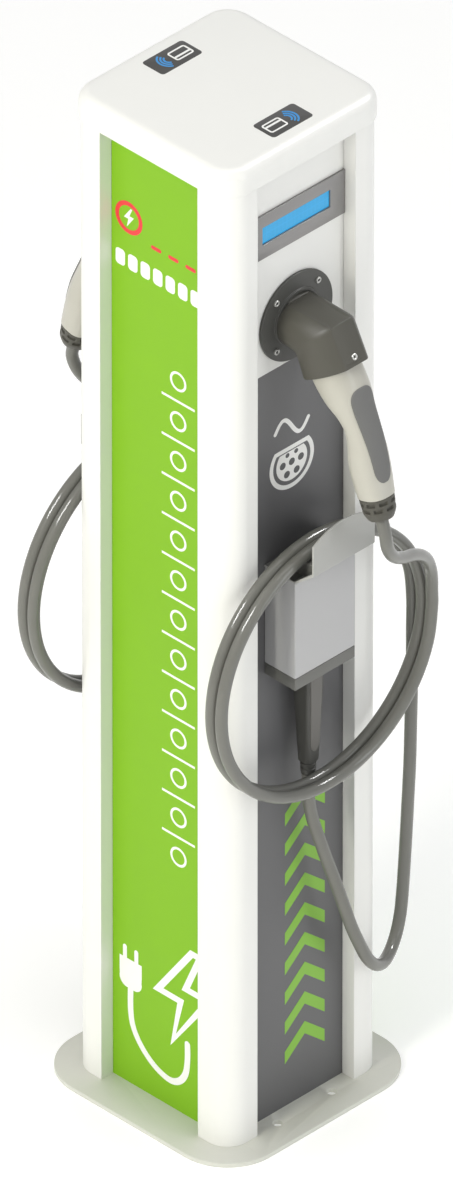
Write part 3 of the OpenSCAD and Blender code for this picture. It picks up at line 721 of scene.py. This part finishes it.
def makeHeadScrew(look, sideName, side):
    lean = math.radians(look["lean"])
    axis = (0, -math.sin(lean), -math.cos(lean))
    origin = (0, -neckOut - look["out"], dockZ + look["up"])
    r, b, proud = look["radius"], look["ringRadius"], look["proud"]
    profile = [(r, -look["length"]), (r, proud)]
    profile += [(r - b + b * math.cos(a), proud + b * math.sin(a))
                for a in (math.radians(22.5 * i) for i in range(1, 9))]
    profile += [(r - 2.1 * b, proud - look["floorSink"]), (0.4 * mm, 0.3 * mm - look["floorSink"])]
    return loftPiece("head_screw_shell_" + sideName, turned(profile, origin, axis, look["around"]), side, 40)


headLook = {
    # inner corner (out, up), way to the outer corner, half width, share of the middle, reach beyond it,
    # squareness; at the neck, at the bend and at the grip
    "stations": [((0, -30.5), (0, 53), 30.5, 0.57, 0.487, 2),
                 ((11.6, -30.5), (47.9, 53), 30.5, 0.52, 0.535, 2.15),
                 ((23.6, -51.2), (58.2, 33.6), 30.5, 0.454, 0.6, 2.5)],
    "around": 128, "bend": 5.0, "share": 0.983,      # share of the way where the raised band covers the body
    "bandHalf": 14.5, "bandRows": 12, "crown": 1.6,
    "band": [(0, 22.5), (59.5, 22.5), (79.5, -13.5), (76.5, -21.5)],
    "bandFoot": [(68, -18), (54, 10), (0, 10)],
    "bandMiddle": (42, -24), "bandEdge": 0.6 * mm, "footEdge": 0.8 * mm,
    "down": (0, -0.5, -0.866),       # the way down the grip
}


def headRing(station, look):
    (out, up), way, wide, middle, reach, power = station
    ring = []
    for k in range(look["around"]):
        angle = 2 * math.pi * k / look["around"]
        low = math.sin(angle) < 0
        bend = 2 / power if low else 1
        x = powered(math.cos(angle), bend) * wide
        share = min(look["share"], middle + powered(math.sin(angle), bend) * (middle if low else reach))
        ring.append((x * mm, -neckOut - (out + way[0] * share) * mm, dockZ + (up + way[1] * share) * mm))
    return ring


def makeHead(look, sideName, side):
    # the nose from the CAD shape, the bent body, and the raised band
    lines = [roundProfile(line, look["bend"] * mm)
             for line in zip(*(headRing(station, look) for station in look["stations"]))]
    rings = list(zip(*lines))
    last, edge = rings[-1], look["footEdge"]
    middle = sum(last, Vector()) / len(last)
    rings.append([p + (middle - p).normalized() * edge + Vector(look["down"]) * edge * 0.4 for p in last])
    body = loftPiece("connector_head_shell_" + sideName, rings, side, 40)
    rings, middle = [], Vector(look["bandMiddle"])
    for i in range(look["bandRows"] + 1):
        x = -1 + 2 * i / look["bandRows"]
        top = [Vector(p) + (middle - Vector(p)).normalized() * look["crown"] * x * x for p in look["band"]]
        rings.append([(x * look["bandHalf"] * mm, -neckOut - out * mm, dockZ + up * mm)
                      for out, up in top + look["bandFoot"]])
    band = loftPiece("head_band_" + sideName, rings, side, 30)
    bevelEdges(band, look["bandEdge"], 3, 30)
    bm = meshOf(nodes["connector_head_" + sideName], weld=True)
    bmesh.ops.bisect_plane(bm, geom=bm.verts[:] + bm.edges[:] + bm.faces[:], clear_inner=True,
                           plane_co=(0, -(neckOut + 1 * mm) * side, 0), plane_no=(0, side, 0))
    bmesh.ops.holes_fill(bm, edges=[e for e in bm.edges if e.is_boundary])
    nose = bmObject("head_nose_" + sideName, bm, 30)
    bm = meshOf(body, band, nose)
    bm.to_mesh(body.data)
    bm.free()
    for piece in (band, nose):
        bpy.data.objects.remove(piece)
    return body


for sideName, side in sides.items():
    for make, look, nodeName in ((makeHead, headLook, "connector_head"), (makeGrip, gripLook, "grip"),
                                 (makePad, padLook, "grip_pad"), (makeCap, capLook, "cable_cap"),
                                 (makeHeadScrew, screwLook, "head_screw")):
        settle(make(look, sideName, side), f"{nodeName}_{sideName}", body="connector_" + sideName)
print("connectors made")

# cable boot: a plug body with flat faces and a ribbed strain relief

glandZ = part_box("gland_plate_front")[0][2]
bootLook = {
    "out": 19.6 * mm, "top": (24 * mm, 22 * mm), "foot": (18 * mm, 17 * mm), "length": 114 * mm,
    # way down from the gland plate, narrowing and corner radius
    "neck": [(0.2 * mm, 7 * mm, 6 * mm), (3 * mm, 7 * mm, 6 * mm), (3.4 * mm, 1 * mm, 3 * mm),
             (4.4 * mm, 0, 3 * mm)],
    "shoulder": 26 * mm, "corner": (3 * mm, 5.4 * mm), "steps": 12, "rim": 1.2 * mm,
}
tongueLook = {"top": 6 * mm, "foot": 100 * mm, "half": (8.6 * mm, 6 * mm), "rows": 40, "round": (0.03, 0.1),
              "proud": 1.1 * mm, "edge": (0.5 * mm, 0.8 * mm), "sunk": 1 * mm}
reliefLook = {"top": 458 * mm, "foot": 418 * mm, "ribs": 6, "radius": (9.0 * mm, 7.7 * mm),
              "groove": 1.1 * mm, "head": 8.9 * mm, "end": (7.4 * mm, 6.6 * mm), "around": 48}
bootY = -panelOut - bootLook["out"]


def makeBoot(look, sideName, side):
    (wide, deep), (footWide, footDeep) = look["top"], look["foot"]
    rows = [(glandZ - down, wide - less, deep - less, corner) for down, less, corner in look["neck"]]
    shoulder, foot = glandZ - look["shoulder"], glandZ - look["length"]
    for i in range(1, look["steps"] + 1):
        s = i / look["steps"]
        rows.append([a + (b - a) * s for a, b in ((shoulder, foot), (wide, footWide), (deep, footDeep),
                                                  look["corner"])])
    rim = look["rim"]
    rows.append((foot - rim, footWide - 2 * rim, footDeep - 2 * rim, look["corner"][1] + 1 * mm))
    rings = [[(x, y, z) for x, y in roundRect(0, bootY, *shape)] for z, *shape in rows]
    return loftPiece("cable_boot_shell_" + sideName, rings, side, 40)


def makeTongue(look, sideName, side):
    # the raised panel on the front face of the boot
    top, foot = glandZ - look["top"], glandZ - look["foot"]
    face, faceFoot = (bootY - bootLook[key][1] / 2 for key in ("top", "foot"))
    (halfTop, halfFoot), (roundTop, roundFoot), (edge, edgeIn) = look["half"], look["round"], look["edge"]
    slopeLength = bootLook["length"] - bootLook["shoulder"]
    rings = []
    for i in range(look["rows"] + 1):
        s = 0.5 - 0.5 * math.cos(math.pi * i / look["rows"])
        z = top + (foot - top) * s
        half = halfTop + (halfFoot - halfTop) * s
        for gone in ((s - 1 + roundFoot) / roundFoot, (roundTop - s) / roundTop):
            half *= math.sqrt(max(0.0004, 1 - max(0, gone) ** 2))
        y = face + (faceFoot - face) * max(0, (glandZ - bootLook["shoulder"] - z) / slopeLength)
        inner = half - min(edgeIn, half / 2)
        rings.append([(half, y + look["sunk"], z), (half, y - edge, z), (inner, y - look["proud"], z),
                      (-inner, y - look["proud"], z), (-half, y - edge, z), (-half, y + look["sunk"], z)])
    return loftPiece("boot_tongue_" + sideName, rings, side, 30)


def makeRelief(look, sideName, side):
    length, ribs, groove = look["top"] - look["foot"], look["ribs"], look["groove"]
    (start, end), rib = look["radius"], length / ribs
    profile = [(look["head"], 0)]
    for i in range(ribs):
        r = start + (end - start) * i / ribs
        profile += [(r, rib * i + 0.3 * mm), (r, rib * (i + 0.55)), (r - groove, rib * (i + 0.66)),
                    (r - groove, rib * (i + 1) - 0.4 * mm)]
    profile += [(r, length) for r in look["end"]]
    rings = turned(profile, (0, bootY, look["top"]), (0, 0, -1), look["around"])
    return loftPiece("strain_relief_" + sideName, rings, side, 35)


for sideName, side in sides.items():
    for make, look, finish in ((makeBoot, bootLook, None), (makeTongue, tongueLook, bootFinish),
                               (makeRelief, reliefLook, None)):
        settle(make(look, sideName, side), "cable_boot_" + sideName, finish=finish)
print("boots made")

# repeated pieces by Geometry Nodes: dock screws and printed chevrons


def newTree(name, inputs):
    tree = bpy.data.node_groups.new(name, "GeometryNodeTree")
    tree.interface.new_socket("Geometry", in_out="OUTPUT", socket_type="NodeSocketGeometry")
    for label, (kind, value) in inputs.items():
        socket = tree.interface.new_socket(label, in_out="INPUT", socket_type="NodeSocket" + kind)
        if value is not None:
            socket.default_value = value
    return tree, tree.nodes.new("NodeGroupInput").outputs, tree.nodes.new("NodeGroupOutput")


def runTree(name, tree, values):
    # a plain mesh from the tree, with its inputs set by the sockets' identifiers
    obj = bpy.data.objects.new(name, bpy.data.meshes.new(name))
    bpy.context.scene.collection.objects.link(obj)
    modifier = obj.modifiers.new("nodes", "NODES")
    modifier.node_group = tree
    for item in tree.interface.items_tree:
        if item.item_type == "SOCKET" and item.in_out == "INPUT" and item.name in values:
            modifier[item.identifier] = values[item.name]
    obj.update_tag()
    applyModifiers(obj)
    return obj


def geo(tree, kind, inputs=None, **settings):
    # the first output of a Geometry Nodes node
    return addNode(tree, "GeometryNode" + kind, inputs, **settings).outputs[0]


def vector(tree, **parts):
    return addNode(tree, "ShaderNodeCombineXYZ", parts).outputs[0]


def joined(tree, *parts):
    whole = addNode(tree, "GeometryNodeJoinGeometry")
    for part in parts:
        tree.links.new(part, whole.inputs["Geometry"])
    return whole.outputs[0]


def moved(tree, shape, **change):
    return geo(tree, "Transform", {"Geometry": shape, **change})


def screwTree(around=28, sectionSteps=12, pitSides=6, pitShare=0.75, pitDepth=0.3 * mm):
    # a turned ring head with a sunk socket whose floor is painted black as shade in the recess, set on a
    # circle at the front and at the back
    tree, given, out = newTree("ringScrews", {
        "Screws": ("Int", 4), "Circle Radius": ("Float", 41 * mm), "Head Radius": ("Float", 3.5 * mm),
        "Ring Radius": ("Float", 1.0 * mm), "Head Height": ("Float", 1.0 * mm),
        "Centre": ("Vector", (0, 0, 0)), "Head": ("Material", None), "Socket Shade": ("Material", None)})
    ringPath = calc(tree, "SUBTRACT", given["Head Radius"], given["Ring Radius"])
    path = geo(tree, "CurvePrimitiveCircle", {"Resolution": around, "Radius": ringPath})
    section = geo(tree, "CurvePrimitiveCircle", {"Resolution": sectionSteps, "Radius": given["Ring Radius"]})
    ring = geo(tree, "CurveToMesh", {"Curve": path, "Profile Curve": section})
    skirt = geo(tree, "MeshCylinder", {"Vertices": around, "Radius": given["Head Radius"],
                                       "Depth": given["Head Height"]})
    drop = vector(tree, Z=calc(tree, "MULTIPLY", given["Head Height"], -0.5))
    skirt = moved(tree, skirt, Translation=drop)
    pit = geo(tree, "MeshCylinder", {"Vertices": pitSides, "Depth": pitDepth,
                                     "Radius": calc(tree, "MULTIPLY", ringPath, pitShare)})
    # the socket floor is marked for a black finish: painted shade in the recess of the steel screw
    pit = geo(tree, "StoreNamedAttribute", {"Geometry": pit, "Name": "socket", "Value": True},
              data_type="BOOLEAN", domain="FACE")
    circle = geo(tree, "MeshCircle", {"Vertices": given["Screws"], "Radius": given["Circle Radius"]})
    circle = moved(tree, circle, Rotation=(0, 0, math.pi / 4))
    copies = geo(tree, "InstanceOnPoints", {"Points": circle, "Instance": joined(tree, ring, skirt, pit)})
    front = moved(tree, copies, Rotation=(math.pi / 2, 0, 0), Translation=given["Centre"])
    back = moved(tree, front, Rotation=(0, 0, math.pi))
    real = geo(tree, "RealizeInstances", {"Geometry": joined(tree, front, back)})
    steel = geo(tree, "SetMaterial", {"Geometry": real, "Material": given["Head"]})
    isSocketShade = geo(tree, "InputNamedAttribute", {"Name": "socket"}, data_type="BOOLEAN")
    dark = geo(tree, "SetMaterial", {"Geometry": steel, "Selection": isSocketShade, "Material": given["Socket Shade"]})
    tree.links.new(dark, out.inputs["Geometry"])
    return tree


def chevronTree():
    # a column of solid chevrons on a face of the post; without a rise they are bars
    tree, given, out = newTree("chevrons", {
        "Count": ("Int", 5), "Pitch": ("Float", 30 * mm), "Width": ("Float", 50 * mm),
        "Rise": ("Float", 20 * mm), "Stroke": ("Float", 8 * mm), "Thickness": ("Float", 0.2 * mm),
        "Place": ("Vector", (0, 0, 0)), "Turn": ("Vector", (0, 0, 0)), "Ink": ("Material", None)})
    sheet = geo(tree, "MeshGrid", {"Size X": given["Width"], "Size Y": given["Stroke"],
                                   "Vertices X": 3, "Vertices Y": 2})
    split = addNode(tree, "ShaderNodeSeparateXYZ", {"Vector": geo(tree, "InputPosition")}).outputs
    share = calc(tree, "DIVIDE", calc(tree, "ABSOLUTE", split["X"]), given["Width"])
    rise = calc(tree, "MULTIPLY", calc(tree, "MULTIPLY_ADD", share, -2.0, 1.0), given["Rise"])
    bent = vector(tree, X=split["X"], Z=calc(tree, "ADD", split["Y"], rise))
    shape = geo(tree, "SetPosition", {"Geometry": sheet, "Position": bent})
    offset = vector(tree, Y=calc(tree, "MULTIPLY", given["Thickness"], -1.0))
    thick = geo(tree, "ExtrudeMesh", {"Mesh": shape, "Offset": offset, "Offset Scale": 1.0,
                                      "Individual": False}, mode="FACES")
    closed = joined(tree, thick, geo(tree, "FlipFaces", {"Mesh": shape}))
    welded = geo(tree, "MergeByDistance", {"Geometry": closed, "Distance": 0.01 * mm})
    line = geo(tree, "MeshLine", {"Count": given["Count"], "Offset": vector(tree, Z=given["Pitch"])})
    copies = geo(tree, "InstanceOnPoints", {"Points": line, "Instance": welded})
    placed = moved(tree, moved(tree, copies, Translation=given["Place"]), Rotation=given["Turn"])
    real = geo(tree, "RealizeInstances", {"Geometry": placed})
    inked = geo(tree, "SetMaterial", {"Geometry": real, "Material": given["Ink"]})
    tree.links.new(inked, out.inputs["Geometry"])
    return tree


# steel heads, and black plastic in the sockets as painted shade
screws = runTree("dock_screw_heads", screwTree(), {
    "Centre": Vector((0, -panelOut - dockLook["flangeThick"] - 0.9 * mm, dockZ)),
    "Head": finishes["screw_metal"], "Socket Shade": finishes["black_plastic"]})
screws.data.shade_smooth()
screws.data.set_sharp_from_angle(angle=math.radians(40))
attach(screws, "root")
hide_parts("dock_screws")
print("dock screws made")

# printed marks, the same on each pair of opposite faces, drawn in mm: across the face, and up

faceTurn = {"front": 0, "back": 180, "left": -90, "right": 90}
inkLift, inkSunk = 0.15 * mm, -0.1 * mm
capSteps = [0.995, 0.92, 0.78, 0.6, 0.38, 0.18]     # rows of a stroke's round end


def onFace(turn, out, u, v):
    angle = math.radians(turn)
    along = Vector((math.cos(angle), math.sin(angle), 0))
    outward = Vector((math.sin(angle), -math.cos(angle), 0))
    return along * u * mm + outward * out + Vector((0, 0, v * mm))


def addStroke(bm, points, width, place, closed=False):
    # a flat line with round ends, or a closed one; place puts a point and a lift on the face
    pts = [Vector(p) for p in points]
    rows = []
    for i, p in enumerate(pts):
        a = (p - pts[i - 1]).normalized() if i or closed else None
        b = (pts[(i + 1) % len(pts)] - p).normalized() if i < len(pts) - 1 or closed else None
        way = ((a or b) + (b or a)).normalized()
        rows.append((p, way, width / 2 / max(0.4, way.dot(b or a))))
    if not closed:
        (first, way, half), (last, wayOut, halfOut) = rows[0], rows[-1]
        rows = [(first - way * half * c, way, half * math.sqrt(1 - c * c)) for c in capSteps] + rows
        rows += [(last + wayOut * halfOut * c, wayOut, halfOut * math.sqrt(1 - c * c))
                 for c in reversed(capSteps)]
    rings = []
    for p, way, half in rows:
        aside = Vector((-way.y, way.x)) * half
        left, right = p + aside, p - aside
        rings.append([place(*left, inkSunk), place(*left, inkLift), place(*right, inkLift),
                      place(*right, inkSunk)])
    addLoft(bm, rings, "joined" if closed else "capped")


def addShape(bm, outline, place):
    # a filled flat shape
    addLoft(bm, [[place(x, y, lift) for x, y in outline] for lift in (inkSunk, inkLift)])


def addCircle(bm, x, y, radius, stroke, place):
    addStroke(bm, arc(x, y, radius, 0, 352.5, 47), stroke, place, closed=True)


def boltOutline(cx, cy, size):
    # lightning bolt, size is its height
    shape = [(0.10, 0.5), (-0.30, -0.06), (-0.03, -0.06), (-0.12, -0.5), (0.30, 0.10), (0.03, 0.10),
             (0.20, 0.5)]
    return [(cx + x * size, cy + y * size) for x, y in shape]


def inkPiece(name, ink, draw, slot="label"):
    bm = bmesh.new()
    draw(bm)
    obj = bmObject(name, bm)
    settle(obj, slot=slot, finish=prints[ink])


sideMarks = {
    "badge": (-44, 1055, 19, 5.2, 23),        # centre, radius and stroke of the badge, height of its bolt
    "dashes": ((-6, 1036), (18, 1036), (42, 1036)), "dashReach": 5, "dashStroke": 4.4,
    "dotRow": (-56, 1003, 13, 19, 4.2, 17.4, 7),   # first dot, width, height, corner, step, count
    "plug": (-43, 143),
    "pins": (-8, 8), "pinRise": (14, 26), "pinStroke": 5.4,
    "body": (15.5, 13, -3), "shoulder": (5, -12, 10.5),     # half width, top and foot; its round foot
    "bow": ((0, -20), (0, -48), (4, -68), (16, -86), (34, -100), (54, -106), (68, -101), (77, -88), (80, -70),
            (80, -50)),
    "bowSteps": 48, "cableStroke": 7.6, "above": 0.06 * mm,
    "bolt": (31, 148, 118),
    "rings": (24.5, 316, 48, 13, 10, 2.8),   # middle, lowest centre, step, count, radius and stroke
}


def drawSideWhite(bm, place, look=sideMarks):
    x, y, width, height, corner, step, count = look["dotRow"]
    for i in range(count):
        addShape(bm, roundRect(x + step * i, y, width, height, corner), place)
    cx, cy, _, _, size = look["badge"]
    addShape(bm, boltOutline(cx, cy, size), place)

    def above(u, v, lift):
        # the pins and the cable lie just over the plug
        return place(u, v, lift + look["above"] if lift > 0 else lift)
    px, py = look["plug"]
    low, high = look["pinRise"]
    for pin in look["pins"]:
        addStroke(bm, [(px + pin, py + low), (px + pin, py + high)], look["pinStroke"], above)
    (half, top, foot), (aside, down, radius) = look["body"], look["shoulder"]
    body = [(px - half, py + top), (px - half, py + foot)] + arc(px - aside, py + down, radius, 165, 262, 8)
    body += arc(px + aside, py + down, radius, 278, 375, 8) + [(px + half, py + foot), (px + half, py + top)]
    addShape(bm, list(reversed(body)), place)
    bow = [(px + u, py + v) for u, v in look["bow"]]
    steps = look["bowSteps"]
    addStroke(bm, [blendRows(bow, i / steps) for i in range(steps + 1)], look["cableStroke"], above)
    addStroke(bm, boltOutline(*look["bolt"]), look["cableStroke"], place, closed=True)
    middle, foot, step, count, radius, stroke = look["rings"]
    for i in range(count):
        addCircle(bm, middle, foot + step * i, radius, stroke, place)


def drawSideRed(bm, place, look=sideMarks):
    cx, cy, radius, stroke, _ = look["badge"]
    addCircle(bm, cx, cy, radius - stroke / 2, stroke, place)
    for x, y in look["dashes"]:
        addStroke(bm, [(x - look["dashReach"], y), (x + look["dashReach"], y)], look["dashStroke"], place)


frontMarks = {
    "wave": (-4, 829, 46, 11.5, 4.6), "waveSteps": 32,    # centre, width, height and stroke of the wave sign
    "socket": (-4, 786, 31, 5.0, 21.5),       # centre, outer radius, stroke, radius of the inner face
    "pins": ((-12.7, 0.1), (0, 0.1), (12.7, 0.1), (-6.8, -12.6), (6.8, -12.6)), "pinRadius": 4.1,
    "signals": ((-6.1, 10), (6.1, 10)), "signalRadius": 2.7, "above": 0.1 * mm,
}


def drawFrontWhite(bm, place, look=frontMarks):
    cx, cy, width, height, stroke = look["wave"]
    shares = [i / look["waveSteps"] for i in range(look["waveSteps"] + 1)]
    wave = [(cx - width / 2 + width * t, cy + height * math.sin(2 * math.pi * t)) for t in shares]
    addStroke(bm, wave, stroke, place)
    cx, cy, radius, stroke, inner = look["socket"]
    addStroke(bm, arc(cx, cy, radius - stroke / 2, 142, 398, 40), stroke, place, closed=True)
    addShape(bm, arc(cx, cy, inner, 141, 399, 40), place)


def drawFrontDark(bm, place, look=frontMarks):
    cx, cy = look["socket"][:2]
    for group, r in (("pins", look["pinRadius"]), ("signals", look["signalRadius"])):
        for x, y in look[group]:
            addShape(bm, arc(cx + x, cy + y, r, 0, 345, 23),
                     lambda u, v, lift: place(u, v, lift + look["above"]))


chevronLook = {
    "side": ({"Count": 12, "Pitch": 48 * mm, "Width": 46 * mm, "Rise": 0.0, "Stroke": 2.8 * mm},
             {"ink": "White", "slot": "white_coat", "u": 24.5 * mm, "foot": 340 * mm}),
    "front": ({"Count": 9, "Pitch": 36.4 * mm, "Width": 56 * mm, "Rise": 24 * mm, "Stroke": 15 * mm},
              {"ink": "Green", "slot": "green_coat", "u": 15 * mm, "foot": 52 * mm}),
}
chevrons = chevronTree()


def makeChevrons(kind, faceName):
    sizes, look = chevronLook[kind]
    obj = runTree(f"chevrons_{faceName}", chevrons, {
        **sizes, "Place": Vector((look["u"], -panelOut + 0.05 * mm, look["foot"] + sizes["Rise"] / 2)),
        "Turn": Vector((0, 0, math.radians(faceTurn[faceName]))), "Ink": prints[look["ink"]]})
    cleaned(obj)
    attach(obj, "root")


for faceName, turn in faceTurn.items():
    def place(u, v, lift, turn=turn):
        return onFace(turn, panelOut + lift, u, v)
    if faceName in sides:
        inkPiece("signs_" + faceName, "White", lambda bm: drawFrontWhite(bm, place), "white_coat")
        inkPiece("sign_holes_" + faceName, "Dark", lambda bm: drawFrontDark(bm, place), "grey_coat")
        makeChevrons("front", faceName)
    else:
        inkPiece("marks_white_" + faceName, "White", lambda bm: drawSideWhite(bm, place), "white_coat")
        inkPiece("marks_red_" + faceName, "Red", lambda bm: drawSideRed(bm, place))
        makeChevrons("side", faceName)
print("printed marks made")

# reader labels in the lid: dark film with a blank card sign and radio waves

labelLook = {"corner": 4, "edge": 0.25 * mm, "card": (-11.5, 0, 22, 14.5, 2.2), "cardStroke": 2.0,
             "stripe": (2, 2.4, 2.6), "waves": (5.5, 8.8, 12.2), "waveStroke": 2.1, "waveX": 4.5}


def makeLabel(look, sideName, side):
    low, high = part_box("reader_label_" + sideName)
    cy, top = (low[1] + high[1]) / 2, high[2]
    wide, deep = (high[0] - low[0]) / mm, (high[1] - low[1]) / mm

    def place(u, v, lift):
        # the label at the back is turned half round
        return Vector((u * side * mm, v * side * mm + cy, top + lift))

    def drawCard(bm):
        x, y, w, h, r = look["card"]
        inset, up, stroke = look["stripe"]
        addStroke(bm, roundRect(x, y, w, h, r), look["cardStroke"], place, closed=True)
        addStroke(bm, [(x - w / 2 + inset, y + up), (x + w / 2 - inset, y + up)], stroke, place)

    def drawWaves(bm):
        for radius in look["waves"]:
            addStroke(bm, arc(look["waveX"], 0, radius, -62, 62, 18), look["waveStroke"], place)
    edge = look["edge"]
    steps = ((0, low[2] - top), (0, -edge), (edge * 0.3, -edge * 0.3), (edge, 0))      # inset and height
    bm = bmesh.new()
    addLoft(bm, [[place(x, y, z) for x, y in roundRect(0, 0, wide - 2 * inset / mm, deep - 2 * inset / mm,
                                                       look["corner"] - inset / mm)] for inset, z in steps])
    settle(bmObject("reader_label_film_" + sideName, bm, 30), "reader_label_" + sideName)
    inkPiece("reader_card_" + sideName, "White", drawCard, "white_coat")
    inkPiece("reader_waves_" + sideName, "Blue", drawWaves)


for sideName, side in sides.items():
    makeLabel(labelLook, sideName, side)
print("reader labels made")

# the CAD nodes that stay showing get their finishes

for nodeName, obj in nodes.items():
    obj.data.materials.clear()
    obj.data.materials.append(finishes[slotOf[nodeName]])

# floor

floorLook = {"size": 60.0, "colour": (1.0, 1.0, 1.0), "glow": 0.16}
bm = bmesh.new()
bmesh.ops.create_grid(bm, x_segments=1, y_segments=1, size=floorLook["size"] / 2)
floor = bmObject("floor", bm)
floor.data.materials.append(makeFinish("studioFloor", floorLook["colour"], 0.9, 2 * mm, 0.02, 0.0,
                                       glow=floorLook["glow"], specular=0.0))

print("finishing")
